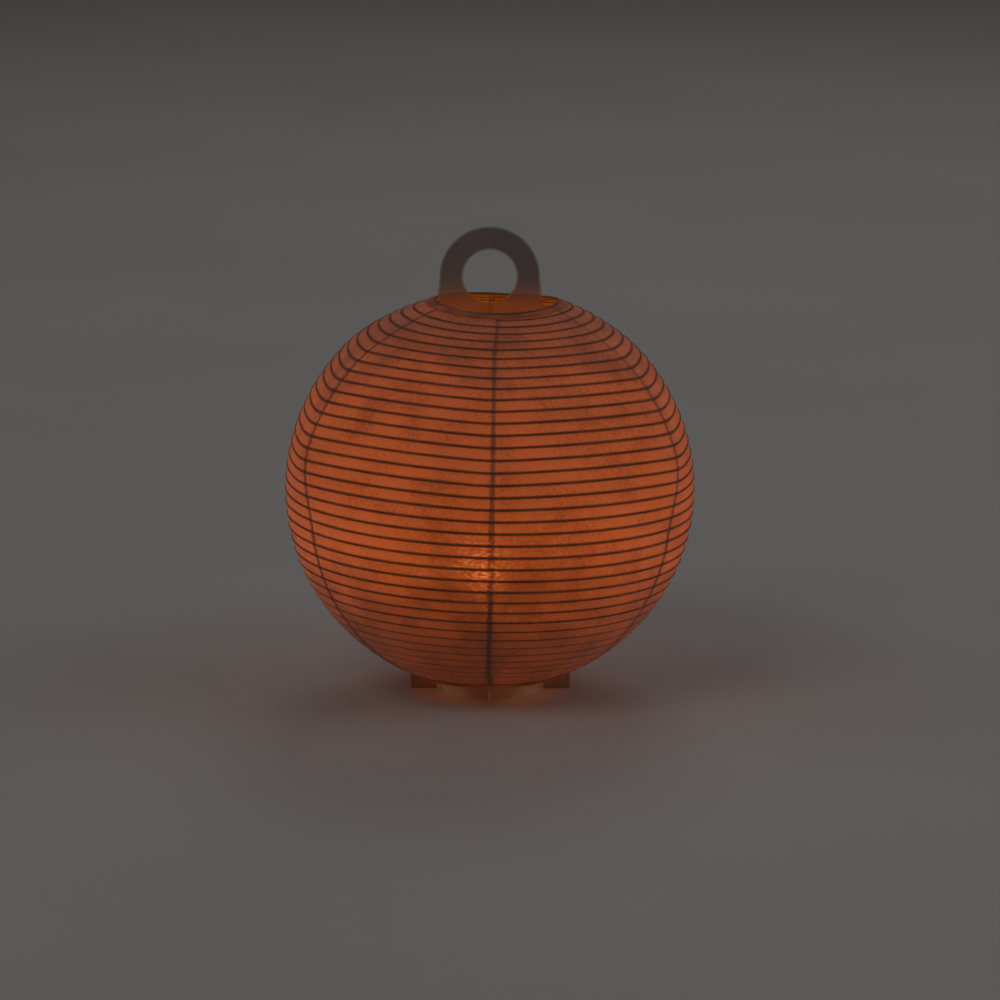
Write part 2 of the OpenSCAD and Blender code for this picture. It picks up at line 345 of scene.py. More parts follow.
def washi_pattern(nodes, join):
    """The shares of light and tone that lit washi shows, each by its name."""
    patch = noise(nodes, join, 24, 3, (1, 1, 0.6))
    cloud = noise(nodes, join, 75, 4)
    fibre = noise(nodes, join, 340, 4, (1, 1, 2.2), "RIDGED_MULTIFRACTAL")
    speck = noise(nodes, join, 800, 3, (1, 1, 1.7))
    weave = noise(nodes, join, 640, 4, (1, 1, 2.0))
    fibres = ranged(nodes, join, fibre, 0.55, 1.5, 0, 1, True)
    # Painted shadow: beside the wire and along the lap the paper darkens, where they hold back the lamp's
    # light.
    off_wire_and_shadow = ranged(nodes, join, marked(nodes, "rib_distance"), 0.2, 1.0, 0, 1, True)
    off_lap_and_shadow = ranged(nodes, join, marked(nodes, "seam_distance"), 0.4, 1.25, 0.66, 1, True)
    grainy = product(
        nodes, join,
        ranged(nodes, join, cloud, 0.32, 0.68, 0.74, 1.12),
        ranged(nodes, join, patch, 0.35, 0.65, 0.86, 1.1),
        ranged(nodes, join, speck, 0.3, 0.7, 0.80, 1.18),
    )
    fibres_and_shadow = product(
        nodes, join, grainy, off_lap_and_shadow,
        ranged(nodes, join, off_wire_and_shadow, 0, 1, 0.42, 1),
        ranged(nodes, join, fibres, 0, 1, 1.1, 0.68),
    )
    holes = ranged(nodes, join, weave, 0.46, 0.62, 0.12, 1, True)
    glow = product(nodes, join, fibres_and_shadow, marked(nodes, "glow"))
    # Painted hot spot: extra glow near the flame, on the front of the paper.
    hot_spot_glow = product(nodes, join, holes, off_wire_and_shadow, off_lap_and_shadow, marked(nodes, "painted_hot_spot"), HOT_SPOT_GLOW)
    return {
        "speck": speck, "fibres": fibres, "off_wire_and_shadow": off_wire_and_shadow, "off_lap_and_shadow": off_lap_and_shadow, "grainy": grainy,
        "fibres_and_shadow": fibres_and_shadow, "holes": holes, "glow": glow, "bright": maths(nodes, join, "ADD", glow, hot_spot_glow),
    }


# %% [markdown]
# Three shaders then share the work. A rough white surface takes the room's light, and carries a
# painted glow of its own, which keeps the glow where a viewer has no lamp inside. A translucent one
# takes the lamp's light, its colour dimmed by the same painted shade. A very faint see-through one
# lets the flame itself show, more inside the painted hot spot.

# %% Washi, outside
def make_washi():
    finish, nodes, join, paper = new_finish("washi_outside")
    light = washi_pattern(nodes, join)
    pulp = blend_colours(nodes, join, light["grainy"], (0.30, 0.21, 0.16, 1), (0.50, 0.40, 0.33, 1))
    # Darker over the wire and along the lap: partly the wire's own colour showing through, partly painted
    # shadow.
    tone = blend_colours(nodes, join, light["off_wire_and_shadow"], (0.20, 0.135, 0.10, 1), pulp)
    tone = blend_colours(nodes, join, light["off_lap_and_shadow"], (0.36, 0.29, 0.25, 1), tone)
    join(tone, paper.inputs["Base Color"])
    join(ranged(nodes, join, light["speck"], 0.3, 0.7, 0.72, 0.92), paper.inputs["Roughness"])
    paper.inputs["Sheen Weight"].default_value = 0.55
    paper.inputs["Sheen Roughness"].default_value = 0.45
    paper.inputs["Specular IOR Level"].default_value = 0.25
    # Painted glow: the paper gives off orange light of its own, shaped by the painted shade and hot spot.
    tint = nodes.new("ShaderNodeVectorMath")
    tint.operation = "SCALE"
    tint.inputs[0].default_value = GLOW_BRIGHT[:3]
    join(light["bright"], tint.inputs["Scale"])
    join(tint.outputs["Vector"], paper.inputs["Emission Color"])
    paper.inputs["Emission Strength"].default_value = 0.125
    long_fibres = maths(nodes, join, "MULTIPLY", light["fibres"], 0.7)
    grain = maths(nodes, join, "ADD", long_fibres, light["speck"])
    bump = bumped(nodes, join, paper, grain, 0.3 * MM)

    through = nodes.new("ShaderNodeBsdfTranslucent")
    # The lamp's light through the paper is dimmed by the same painted shade and shadow as the glow.
    lamp_tone = blend_colours(nodes, join, light["glow"], (0.02, 0.005, 0.002, 1), (0.95, 0.44, 0.20, 1))
    join(lamp_tone, through.inputs["Color"])
    join(bump.outputs["Normal"], through.inputs["Normal"])
    gap = nodes.new("ShaderNodeBsdfTransparent")
    gap.inputs["Color"].default_value = (1, 0.36, 0.09, 1)
    open_share = ranged(nodes, join, light["holes"], 0.12, 1, 0.004, 0.045)
    # More of the flame shows through inside the painted hot spot.
    by_hot_spot = ranged(nodes, join, marked(nodes, "painted_hot_spot"), 0, 0.6, 0.3, 1.3)
    see_through = product(nodes, join, open_share, by_hot_spot, light["fibres_and_shadow"])
    sheet = mixed(nodes, join, 0.5, paper.outputs["BSDF"], through.outputs["BSDF"])
    skin = mixed(nodes, join, see_through, sheet, gap.outputs["BSDF"])
    join(skin, nodes["Material Output"].inputs["Surface"])
    return finish


washi_outside = make_washi()

# %% [markdown]
# The inside skin of the same paper has to pass the lamp's light on to the outside skin. A solid
# sheet of two skins would swallow it twice, so about two thirds of this skin is see-through, and the
# outer skin decides how the lit paper looks.

# %% Washi, inside
def make_washi_inside():
    finish, nodes, join, paper = new_finish("washi_inside")
    fibre = noise(nodes, join, 260, 3, (1, 1, 1.9), "RIDGED_MULTIFRACTAL")
    cloud = noise(nodes, join, 70, 3)
    colour = blend_colours(nodes, join, ranged(nodes, join, cloud, 0.3, 0.7, 0, 1),
                           (0.74, 0.58, 0.44, 1), (0.86, 0.74, 0.60, 1))
    join(colour, paper.inputs["Base Color"])
    join(ranged(nodes, join, cloud, 0.3, 0.7, 0.75, 0.92), paper.inputs["Roughness"])
    bumped(nodes, join, paper, fibre, 0.12 * MM)
    open_skin = nodes.new("ShaderNodeBsdfTransparent")
    skin = mixed(nodes, join, 0.65, paper.outputs["BSDF"], open_skin.outputs["BSDF"])
    join(skin, nodes["Material Output"].inputs["Surface"])
    return finish


washi_inside = make_washi_inside()
print("washi finishes:", washi_outside.name, washi_inside.name)

# %% [markdown]
# ## Six gores
# A gore is one long leaf-shaped piece of washi, from mouth to mouth. The maker pastes six of them
# over the wound wire, each lapping a little over the next. Between two turns of the wire the damp
# paper dries taut and sags inwards, with small crinkles that run from wire to wire. The rows of the
# grid therefore follow the wire, not the horizon: each band between two turns gets its own rows, and
# the ridge over the wire falls exactly on a row. The points also carry the marks for the finish. The
# paper is darker over the lap and the wire, partly with painted shadow, and the seam bands are wider
# in the lower half as painted shadow of the cross plate. Painted shade makes the glow dimmer low
# down, where the tea light's cup shades it, and under the top mouth. A painted hot spot near the
# flame, on the two front gores, adds glow and lets more of the flame show through.

# %% Lay out one gore
ROWS_IN_BAND = 8
COLUMNS = 84
LAP = 1.2
SAG = 0.42 * MM
CRINKLE = 0.085 * MM
EDGE = 0.153
LAP_MIDDLE = 0.85
# Painted hot spot: the place and size of a pool of extra glow on the front, beside the flame.
HOT_SPOT_X, HOT_SPOT_WIDE = -3.5 * MM, 9.5 * MM
HOT_SPOT_Z, HOT_SPOT_TALL = 67 * MM, 9 * MM
# Heights where the painted shade of the glow sets in, low down and under the top mouth.
CUP_SHADE_Z, CUP_SHADE_TALL = 22 * MM, 64 * MM
MOUTH_DIM_Z, MOUTH_DIM_TALL = 116 * MM, 38 * MM
FAR_FROM_WIRE = 9.0


def in_low_quarter(pitches):
    """1 where the narrow ends of the gores lie thick over the wire, and 0 above."""
    return ease((pitches - 26) / 8)


def crinkles(rng, bands, columns):
    """Smooth random waves round each band, a new set for each band."""
    knots = rng.normal(size=(bands, 30))
    at = np.linspace(0, 28.99, columns)
    low = at.astype(int)
    share = ease(at - low)
    coarse = knots[:, low] * (1 - share) + knots[:, low + 1] * share
    fine = rng.normal(size=(bands, columns))
    fine = (fine + np.roll(fine, 1, axis=1) + np.roll(fine, -1, axis=1)) / 3
    return coarse * 0.75 + fine * 0.5


def gore_rows(turn, slack, waves):
    """Rows of pitches, how far the paper stands out there, and its distance from the wire in mm."""
    share = turn / 360
    edges = [np.full(COLUMNS, EDGE)]
    edges += [1 + share + n for n in range(RIB_TURNS - 1)]
    edges += [np.full(COLUMNS, RIB_TURNS + 1 - EDGE)]
    bands = len(edges) - 1
    rows, sinks, near = [], [], []
    for band in range(bands):
        last = band == bands - 1
        tall = edges[band + 1] - edges[band]
        for step in range(ROWS_IN_BAND + (1 if last else 0)):
            t = step / ROWS_IN_BAND
            arch = 4 * t * (1 - t)
            rows.append(edges[band] + t * tall)
            sinks.append(-arch * (SAG * slack[band] + CRINKLE * waves[band]))
            above = t * tall if band > 0 else np.full(COLUMNS, FAR_FROM_WIRE)
            below = np.full(COLUMNS, FAR_FROM_WIRE) if last else (1 - t) * tall
            near.append(np.minimum(above, below) * pitch_length / MM)
    return np.array(rows), np.array(sinks), np.array(near)


def gore_grid(number):
    """The points of one gore, with the marks that its finish reads."""
    rng = np.random.default_rng(40 + number)
    width = 360 / GORES
    turn = np.linspace((number - 1) * width - 0.05, number * width + LAP, COLUMNS)
    inside = ease(np.minimum(turn - turn[0], turn[-1] - turn) / 4)
    waves = inside * crinkles(rng, RIB_TURNS, COLUMNS)
    uneven = 0.22 * rng.normal(size=(RIB_TURNS, 1)) + 0.08 * rng.normal(size=(RIB_TURNS, COLUMNS))
    pitches, out, near = gore_rows(turn, 1 + inside * uneven, waves)
    lap_share = ease((turn - number * width) / 0.25 + 0.5)
    out = out * (1 - 0.35 * ease((np.abs(pitches - 20) - 15) / 5)) + 0.11 * MM * lap_share
    points = surface(pitches, turn[None, :], out)
    return points, gore_marks(points, pitches, turn, near, (number - 0.5) * width)


def gore_marks(points, pitches, turn, near, middle):
    """What the finish reads: distances from wire and seam in mm, and two shares of painted light."""
    reach = np.hypot(points[..., 0], points[..., 1])
    off_edge = np.radians(np.abs(turn - middle) - 180 / GORES)[None, :] * reach / MM
    seam = np.where(turn[None, :] > middle, np.abs(off_edge - LAP_MIDDLE), np.abs(off_edge + LAP_MIDDLE))
    # Painted shade: the dark seam band is wider in the lower half, for the cross plate's shadow on the front
    # seam.
    seam = seam / (1 + 0.7 * ease((pitches - 16) / 8))
    # The wire's painted shadow is fainter in the lowest quarter.
    near = near + 0.6 * in_low_quarter(pitches)
    # Painted shade: the glow dims low down, where the tea light's cup shades the paper, and under the top
    # mouth.
    height = points[..., 2]
    above_cup = ease((height - CUP_SHADE_Z) / CUP_SHADE_TALL)
    under_mouth = ease((height - MOUTH_DIM_Z) / MOUTH_DIM_TALL)
    glow = 0.21 + 0.79 * above_cup - 0.42 * under_mouth
    # Painted hot spot: a soft pool of extra glow on the front of the paper, near the flame.
    off_hot_spot = ((points[..., 0] - HOT_SPOT_X) / HOT_SPOT_WIDE) ** 2 + ((height - HOT_SPOT_Z) / HOT_SPOT_TALL) ** 2
    patch = np.where(points[..., 1] < 0, np.exp(-off_hot_spot), 0)
    return {"rib_distance": near, "seam_distance": seam, "glow": glow, "painted_hot_spot": patch}


# %% [markdown]
# When the lantern is folded flat, the paper and the wire close up like bellows towards the top. Each
# gore, and the wire and the threads below, is put on the lantern's body with a mesh of its own.


def folds(obj):
    """Puts this piece on the lantern's body, with a mesh of its own."""
    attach(obj, "lantern")
    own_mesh(obj)
    return obj


gores = []
for number in range(1, GORES + 1):
    points, marks = gore_grid(number)
    gore = grid_object(f"washi_gore_{number}_paper", points, marks=marks)
    gore.data.materials.append(washi_outside)
    gore.data.materials.append(washi_inside)
    thicken(gore, WASHI_T, 1)
    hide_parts(f"washi_gore_{number}")
    gores.append(folds(gore))

# %% [markdown]
# ## Wires and threads
# The rib and the hoops are steel wire wrapped in thin dark paper tape, so they look dull brown and
# not like bare metal. A slanted fine noise stands for the wrapping. The threads are plain cotton.

# %% Wire and thread finishes
def make_wire():
    finish, nodes, join, wire = new_finish("wrapped_wire")
    wrap = noise(nodes, join, 1400, 2, (1, 1, 2.5))
    stain = noise(nodes, join, 90, 3)
    tone = blend_colours(nodes, join, ranged(nodes, join, stain, 0.3, 0.7, 0, 1),
                         (0.17, 0.092, 0.056, 1), (0.30, 0.18, 0.118, 1))
    join(tone, wire.inputs["Base Color"])
    join(ranged(nodes, join, wrap, 0.3, 0.7, 0.5, 0.75), wire.inputs["Roughness"])
    bumped(nodes, join, wire, wrap, 0.05 * MM)
    return finish


def make_thread():
    finish, nodes, join, thread = new_finish("cotton_thread")
    twist = noise(nodes, join, 1800, 2, (1, 1, 0.4))
    tone = blend_colours(nodes, join, ranged(nodes, join, twist, 0.3, 0.7, 0, 1),
                         (0.42, 0.33, 0.24, 1), (0.66, 0.56, 0.44, 1))
    join(tone, thread.inputs["Base Color"])
    join(ranged(nodes, join, twist, 0.3, 0.7, 0.8, 0.95), thread.inputs["Roughness"])
    bumped(nodes, join, thread, twist, 0.08 * MM)
    return finish


wrapped_wire = make_wire()
cotton_thread = make_thread()

# %% [markdown]
# One wire makes all the ribs. It starts at the front, one pitch under the top hoop, and drops one
# pitch with every turn. It lies half sunk in the paper, so that it shows as a fine dark line with a
# real edge. In the lowest quarter the narrow gores lap so far that the wire lies wholly behind them.

# %% Wind the rib
RIB_STEPS = 120
rib_turn = np.arange(RIB_STEPS * (RIB_TURNS - 1) + 1) * 360 / RIB_STEPS
rib_pitches = 1 + rib_turn / 360
rib_depth = 0.15 * MM + 0.40 * MM * in_low_quarter(rib_pitches)
rib_path = surface(rib_pitches, rib_turn, -rib_depth)
from_end = np.minimum(np.arange(len(rib_turn)), np.arange(len(rib_turn))[::-1])
rib_radius = RIB_R * (0.35 + 0.65 * ease(from_end / 14))
rib = wire_object("spiral_rib_wire", [rib_path], [rib_radius], sides=8)
rib.data.materials.append(wrapped_wire)
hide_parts("spiral_rib")
folds(rib)
rib_length = np.linalg.norm(np.diff(rib_path, axis=0), axis=1).sum()
print(f"one rib wire, {rib_length:.1f} m long")

# %% [markdown]
# The threads run down behind the six seams and tie each turn to the next. Each dips a little
# between two turns, because it hangs from one to the next.

# %% Tie the threads
THREAD_R = 0.16 * MM
THREAD_STEPS = 8
thread_pitches = np.linspace(1.02, RIB_TURNS - 0.02, (RIB_TURNS - 1) * THREAD_STEPS + 1)
thread_depth = 0.75 * MM + 0.35 * MM * np.sin(np.pi * (thread_pitches % 1)) ** 2
thread_paths = [
    surface(thread_pitches, 360 / GORES * i + 0.25 * np.sin(thread_pitches * 2.1 + i), -thread_depth)
    for i in range(GORES)
]
threads = wire_object("spacing_thread_lines", thread_paths, [THREAD_R] * GORES, sides=6)
threads.data.materials.append(cotton_thread)
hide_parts("spacing_threads")
folds(threads)
print(f"{GORES} threads of {len(thread_pitches)} points")

# %% [markdown]
# The two hoops stiffen the mouths. They are the same wrapped wire, bent round and slightly out of
# true. The top one leans and sags with the paper that it is pasted to.

# %% Bend the hoops
def hoop_object(name, node, radius, pitches, body):
    turn = np.linspace(0, 360, 181)[:-1]
    rng = np.random.default_rng(len(name))
    bend = sum(rng.normal() * np.cos(np.radians(k * turn) + rng.uniform(0, 6)) for k in (2, 3, 4))
    path = surface(pitches, turn, -HOOP_INSET)
    path[:, 2] += 0.10 * MM * bend
    hoop = wire_object(name, [path], [radius], sides=12, closed=True)
    hoop.data.materials.append(wrapped_wire)
    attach(hoop, body)
    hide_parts(node)
    return hoop


top_hoop = hoop_object("top_hoop_wire", "top_hoop", 0.85 * hoop_wire, 0.0, "lantern")
bottom_hoop = hoop_object("bottom_hoop_wire", "bottom_hoop", hoop_wire, RIB_TURNS + 1.0, "bottom_end")
print("hoops:", top_hoop.name, bottom_hoop.name)

# %% [markdown]
# ## Binding tape
# A narrow strip of the same washi is pasted round each mouth, over the cut ends of the gores. Its
# colour is painted greyer than the body, as painted shade for the light that one more layer holds
# back, and it gives off a faint painted orange glow of its own. Torn by hand, its long edge wanders,
# and the strip puckers where it turns the tight curve. The bottom one also covers the hoop.

# %% Tape finish and tape rings
def make_tape():
    finish, nodes, join, paper = new_finish("binding_tape")
    fibre = noise(nodes, join, 300, 3, (1, 1, 1.6), "RIDGED_MULTIFRACTAL")
    cloud = noise(nodes, join, 110, 3)
    fibres = ranged(nodes, join, fibre, 0.55, 1.5, 0, 1, True)
    # Painted shade: the tape's colour is darker and greyer than the body's.
    tone = blend_colours(nodes, join, ranged(nodes, join, cloud, 0.3, 0.7, 0, 1),
                         (0.24, 0.17, 0.125, 1), (0.36, 0.27, 0.21, 1))
    join(tone, paper.inputs["Base Color"])
    join(ranged(nodes, join, cloud, 0.3, 0.7, 0.75, 0.92), paper.inputs["Roughness"])
    paper.inputs["Sheen Weight"].default_value = 0.2
    # Painted glow: orange light that the tape gives off of its own.
    glow = blend_colours(nodes, join, ranged(nodes, join, cloud, 0.3, 0.7, 0.3, 0.8), (0, 0, 0, 1), GLOW_DEEP)
    join(glow, paper.inputs["Emission Color"])
    paper.inputs["Emission Strength"].default_value = 0.14
    bump = bumped(nodes, join, paper, fibres, 0.14 * MM)
    through = nodes.new("ShaderNodeBsdfTranslucent")
    through.inputs["Color"].default_value = (0.8, 0.45, 0.27, 1)
    join(bump.outputs["Normal"], through.inputs["Normal"])
    sheet = mixed(nodes, join, 0.35, paper.outputs["BSDF"], through.outputs["BSDF"])
    join(sheet, nodes["Material Output"].inputs["Surface"])
    return finish


binding_tape = make_tape()


def tape_object(name, node, start, end, body, seed, hoop_at=None):
    """A ring of tape from the mouth's edge to a wandering edge on the body, both in rib pitches."""
    rng = np.random.default_rng(seed)
    turn = np.linspace(0, 360, 361)[:-1]
    wander = sum(
        rng.normal() / k * np.cos(np.radians(k * turn) + rng.uniform(0, 6)) for k in (3, 7, 13, 29, 61)
    )
    pucker = sum(
        rng.normal() * np.cos(np.radians(k * turn) + rng.uniform(0, 6)) for k in (24, 41, 57, 88)
    )
    rows = []
    for t in np.linspace(0, 1, 13):
        across = start + t * (end - start) * (1 + 0.07 * wander)
        lift = 0.20 * MM + 0.045 * MM * pucker * t + 0.05 * MM * math.sin(math.pi * t)
        if hoop_at is not None:
            lift = lift + 0.24 * MM * (1 - ease((np.abs(across - hoop_at) - 0.06) / 0.25))
        rows.append(surface(across, turn, lift))
    points = np.array(rows if end > start else rows[::-1])
    tape = grid_object(name, points, wrap=True)
    tape.data.materials.append(binding_tape)
    thicken(tape, 0.12 * MM)
    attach(tape, body)
    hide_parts(node)
    return tape


top_tape = tape_object("top_tape_band", "top_tape", EDGE, 0.80, "lantern", 3)
hoop_at = RIB_TURNS + 1
bottom_tape = tape_object("bottom_tape_band", "bottom_tape", hoop_at + 0.14, hoop_at - 0.75,
                          "bottom_end", 5, hoop_at)
print("tapes:", top_tape.name, bottom_tape.name)

# %% [markdown]
# ## Clear plates
# The plates are stamped from thin frosted plastic sheet. Face on they are a grey haze that lets the
# background through, and their cut edges catch the light, which is painted in: a pale highlight on
# the edges outside the body, and a painted tone of the lamp's light and shade on the edges inside it.
# The object's own normal tells a face from an edge, and a narrow band just inside the handle plate's
# outline carries the same painted highlight, as the sheet leads light to its cut edges. Inside the
# body the sheet gives off a painted orange glow of the lamp, which fades out above the mouth.

# %% Clear sheet finish
HANDLE_R = 19.5 * MM
HOLE_R = 10.5 * MM
CUT_BAND = 0.55 * MM
FLARE_SLOPE = 0.083
FEET_FADE = (10 * MM, 16 * MM)
MOUTH_FADE = (156 * MM, 162 * MM)
SHOULDER_FADE = (155 * MM, 156.5 * MM)
# Heights between which the plates' painted lamp glow fades in and fades out.
LAMP_GLOW_LOW = (8 * MM, 40 * MM)
LAMP_GLOW_HIGH = (148 * MM, 166 * MM)
plate_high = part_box("handle_plate")[1]
handle_z = plate_high[2] - HANDLE_R
foot_edge = plate_high[0] - CUT_BAND


def length_of(nodes, join, across, up):
    """The length of a slanting line from its two sides."""
    squares = [maths(nodes, join, "POWER", side, 2) for side in (across, up)]
    return maths(nodes, join, "SQRT", maths(nodes, join, "ADD", *squares), 0)


def edge_highlight_share(nodes, join, place):
    """Painted highlight: 1 in the narrow band along the handle's cut edges and the feet's ends, 0 inside the
    sheet.
    """
    step = 0.15 * MM
    side = maths(nodes, join, "ABSOLUTE", place.outputs["X"], 0)
    rise = maths(nodes, join, "SUBTRACT", place.outputs["Z"], handle_z)
    above = maths(nodes, join, "MAXIMUM", rise, 0)
    flare = maths(nodes, join, "MULTIPLY", maths(nodes, join, "MINIMUM", rise, 0), FLARE_SLOPE)
    straight = maths(nodes, join, "ADD", side, flare)
    reach = length_of(nodes, join, straight, above)
    outer = ranged(nodes, join, reach, HANDLE_R - CUT_BAND - step, HANDLE_R - CUT_BAND, 0, 1)
    from_hole = length_of(nodes, join, side, rise)
    hole = ranged(nodes, join, from_hole, HOLE_R + CUT_BAND, HOLE_R + CUT_BAND + step, 1, 0)
    over_mouth = ranged(nodes, join, place.outputs["Z"], *SHOULDER_FADE, 0, 1)
    handle = maths(nodes, join, "MULTIPLY", maths(nodes, join, "MAXIMUM", outer, hole), over_mouth)
    foot = ranged(nodes, join, side, foot_edge - step, foot_edge, 0, 1)
    return maths(nodes, join, "MAXIMUM", handle, foot)


def make_clear_sheet(name, face_axis, edge_in_lamplight):
    finish, nodes, join, sheet = new_finish(name)
    haze = noise(nodes, join, 45, 3)
    grain = noise(nodes, join, 2400, 2)
    where = nodes.new("ShaderNodeTexCoord")
    split_normal = nodes.new("ShaderNodeSeparateXYZ")
    join(where.outputs["Normal"], split_normal.inputs["Vector"])
    facing = maths(nodes, join, "ABSOLUTE", split_normal.outputs[face_axis], 0)
    face = ranged(nodes, join, facing, 0.5, 0.8, 0, 1, True)
    tone = blend_colours(nodes, join, ranged(nodes, join, haze, 0.3, 0.7, 0, 1),
                         (0.255, 0.205, 0.20, 1), (0.32, 0.262, 0.255, 1))
    split_place = nodes.new("ShaderNodeSeparateXYZ")
    join(where.outputs["Object"], split_place.inputs["Vector"])
    height = split_place.outputs["Z"]
    below = ranged(nodes, join, height, *FEET_FADE, 1, 0, True)
    above = ranged(nodes, join, height, *MOUTH_FADE, 0, 1, True)
    outside = maths(nodes, join, "ADD", below, above)
    # Painted light on the edges: a pale highlight outside the body, the given lamplit tone inside it.
    edge = blend_colours(nodes, join, outside, edge_in_lamplight, (0.50, 0.51, 0.47, 1))
    edge_highlight = edge_highlight_share(nodes, join, split_place) if face_axis == "Y" else 0
    inner = maths(nodes, join, "MULTIPLY", face, maths(nodes, join, "SUBTRACT", 1, edge_highlight))
    join(blend_colours(nodes, join, inner, edge, tone), sheet.inputs["Base Color"])
    rough = maths(nodes, join, "ADD", ranged(nodes, join, haze, 0.3, 0.7, 0, 0.14),
                  ranged(nodes, join, face, 0, 1, 0.78, 0.34))
    join(rough, sheet.inputs["Roughness"])
    sheet.inputs["IOR"].default_value = 1.49
    # Painted glow: the lamp's orange on the sheet inside the body, weaker near the feet and gone above the
    # mouth.
    lamp_glow_high = ranged(nodes, join, height, *LAMP_GLOW_HIGH, 1, 0, True)
    lamp_glow_low = ranged(nodes, join, height, *LAMP_GLOW_LOW, 0.25, 1, True)
    lamp_glow = maths(nodes, join, "MULTIPLY", lamp_glow_high, lamp_glow_low)
    join(blend_colours(nodes, join, lamp_glow, (0, 0, 0, 1), (1.0, 0.20, 0.03, 1)), sheet.inputs["Emission Color"])
    sheet.inputs["Emission Strength"].default_value = 0.10
    bumped(nodes, join, sheet, grain, 0.03 * MM)
    clear = nodes.new("ShaderNodeBsdfTransparent")
    clear.inputs["Color"].default_value = (0.93, 0.90, 0.90, 1)
    see_through = ranged(nodes, join, inner, 0, 1, 0.12, 0.42)
    frosted = mixed(nodes, join, see_through, sheet.outputs["BSDF"], clear.outputs["BSDF"])
    join(frosted, nodes["Material Output"].inputs["Surface"])
    return finish


def dress(node, finish):
    """Gives a CAD node its finish, in place of the plain one."""
    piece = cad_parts[node]
    piece.data.materials.clear()
    piece.data.materials.append(finish)
    return piece


def soften(node, width):
    """A narrow rounded edge, so that a moulded or stamped piece catches the light."""
    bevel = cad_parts[node].modifiers.new("soft_edge", "BEVEL")
    bevel.width = width
    bevel.segments = 2
    bevel.limit_method = "ANGLE"
    bevel.angle_limit = math.radians(40)


# The last colour is each plate's edge inside the body, in the lamp's painted light and shade.
dress("handle_plate", make_clear_sheet("clear_sheet_handle", "Y", (0.40, 0.26, 0.20, 1)))
dress("cross_plate", make_clear_sheet("clear_sheet_cross", "X", (0.14, 0.065, 0.04, 1)))
print("plates dressed")

# %% [markdown]
# ## Tea light
# The cup, its base and the battery door are moulded in one ivory plastic, and the switch in a dark
# one. Moulded plastic is nearly even, so its noise is faint: a slight cloudiness in the colour, and a
# fine grain that the mould leaves. The metal parts inside are nickel, brass and tinned wire.

# %% Moulded and metal finishes
def make_moulded(name, dark, light, rough, grain_depth, metal=0.0, glow=0.0, glow_colour=(1, 1, 1, 1)):
    finish, nodes, join, skin = new_finish(name)
    cloud = noise(nodes, join, 120, 3)
    grain = noise(nodes, join, 2200, 2)
    tone = blend_colours(nodes, join, ranged(nodes, join, cloud, 0.3, 0.7, 0, 1), dark, light)
    join(tone, skin.inputs["Base Color"])
    join(ranged(nodes, join, grain, 0.3, 0.7, rough - 0.06, rough + 0.08), skin.inputs["Roughness"])
    skin.inputs["Metallic"].default_value = metal
    if glow:
        rise = ranged(nodes, join, cloud, 0.3, 0.7, 0.8, 1)
        join(blend_colours(nodes, join, rise, (0, 0, 0, 1), glow_colour), skin.inputs["Emission Color"])
        skin.inputs["Emission Strength"].default_value = glow
    bumped(nodes, join, skin, grain, grain_depth)
    return finish


ivory = make_moulded("ivory_plastic", (0.58, 0.46, 0.32, 1), (0.68, 0.56, 0.41, 1), 0.42, 0.02 * MM)
dark_plastic = make_moulded("dark_plastic", (0.03, 0.03, 0.032, 1), (0.05, 0.05, 0.055, 1), 0.5, 0.03 * MM)
nickel = make_moulded("nickel", (0.52, 0.50, 0.47, 1), (0.66, 0.64, 0.60, 1), 0.28, 0.01 * MM, 1.0)
brass = make_moulded("contact_brass", (0.60, 0.42, 0.17, 1), (0.78, 0.56, 0.25, 1), 0.3, 0.01 * MM, 1.0)
tinned = make_moulded("tinned_wire", (0.50, 0.50, 0.50, 1), (0.66, 0.66, 0.66, 1), 0.35, 0.01 * MM, 1.0)
resin = make_moulded("lamp_resin", (0.9, 0.62, 0.25, 1), (1.0, 0.74, 0.36, 1), 0.12, 0.005 * MM,
                     glow=20, glow_colour=(1.0, 0.36, 0.08, 1))
flame = make_moulded("flame_plastic", (0.85, 0.62, 0.36, 1), (0.95, 0.74, 0.46, 1), 0.35, 0.02 * MM,
                     glow=12, glow_colour=(1.0, 0.34, 0.06, 1))
for node, finish in {
    "candle_cup": ivory, "candle_base": ivory, "battery_door": ivory, "switch_knob": dark_plastic,
    "coin_cell": nickel, "minus_contact": nickel, "plus_contact": brass, "lamp_leads": tinned,
    "lamp": resin, "flame_cap": flame,
}.items():
    dress(node, finish)
for node in ("candle_cup", "candle_base", "battery_door", "switch_knob"):
    soften(node, 0.25 * MM)
print("tea light dressed")

# %% [markdown]
# The lamp's light comes from one small round light just above the flame. A bright little mesh could
# do the same, but its light would find the paper only by chance and leave the picture full of
# specks. The flame itself then needs just enough glow of its own to be seen.

# %% Light of the flame
flame_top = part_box("flame_cap")[1][2]
flame_light = bpy.data.lights.new("flame_light", "POINT")
flame_light.energy = 0.125
flame_light.color = (1.0, 0.30, 0.055)
flame_light.shadow_soft_size = 4 * MM
flame_stand = bpy.data.objects.new("flame_light", flame_light)
flame_stand.location = (0, 0, flame_top + 7 * MM)
flame_stand.visible_camera = False
bpy.context.scene.collection.objects.link(flame_stand)
print(f"flame light at {flame_stand.location.z / MM:.0f} mm")

# %% [markdown]
# ## Studio
# The lantern stands on a plain pale floor under soft, low light from five large lamps, so that its
# own glow leads. The two at the sides keep the edges of the paper grey rather than black. The floor
# is one wide plane with a faint cloudiness.

